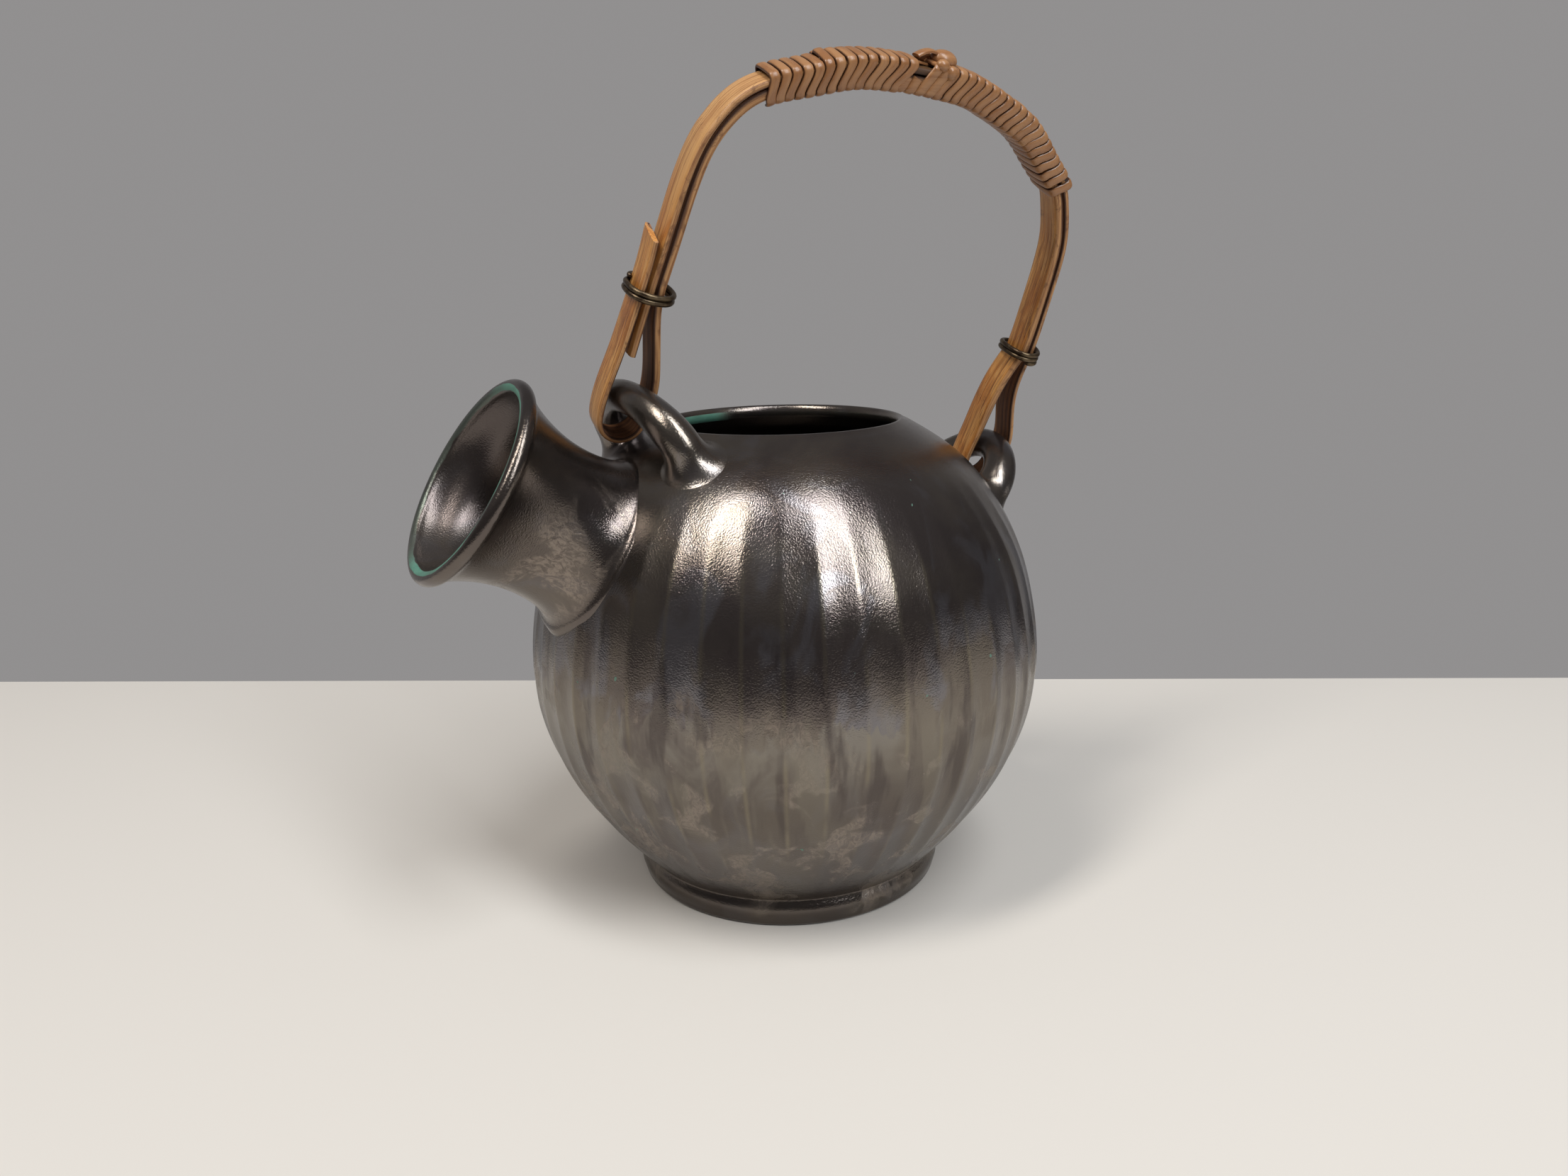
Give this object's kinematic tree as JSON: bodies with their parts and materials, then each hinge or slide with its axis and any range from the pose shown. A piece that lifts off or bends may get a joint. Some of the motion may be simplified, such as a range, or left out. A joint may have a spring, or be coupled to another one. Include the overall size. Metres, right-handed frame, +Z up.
{
  "type": "ceramic jug",
  "caption": "Glazed ceramic jug with a fluted round body, a short trumpet spout and a swinging bamboo bail bound in rattan.",
  "frame": {"origin": "centre of the foot ring's resting plane, under the pot's axis", "axes": "+Z up along the pot's axis, the spout points towards -X, the bail rests leaning towards -Y"},
  "size_m": [0.1775, 0.1392, 0.2152],
  "materials": {
    "glaze": "gloss",
    "bamboo": "satin",
    "rattan": "satin",
    "wire": "aged"
  },
  "bodies": {
    "jug": {"pot_body": "glaze", "foot_ring": "glaze", "spout": "glaze", "front_lug": "glaze", "rear_lug": "glaze"},
    "bail": {"bamboo_strip": "bamboo", "front_binding_wire": "wire", "rear_binding_wire": "wire", "front_rattan_wrap": "rattan", "rear_rattan_wrap": "rattan", "rattan_knot": "rattan", "rattan_lay_strand": "rattan"}
  },
  "joints": [
    {"name": "bail_swing", "type": "hinge", "parent": "jug", "child": "bail", "pos_m": [-0.04455, 0, 0.1368], "axis": [-0.9819, 0, 0.1892], "range_deg": [0, 44]}
  ]
}
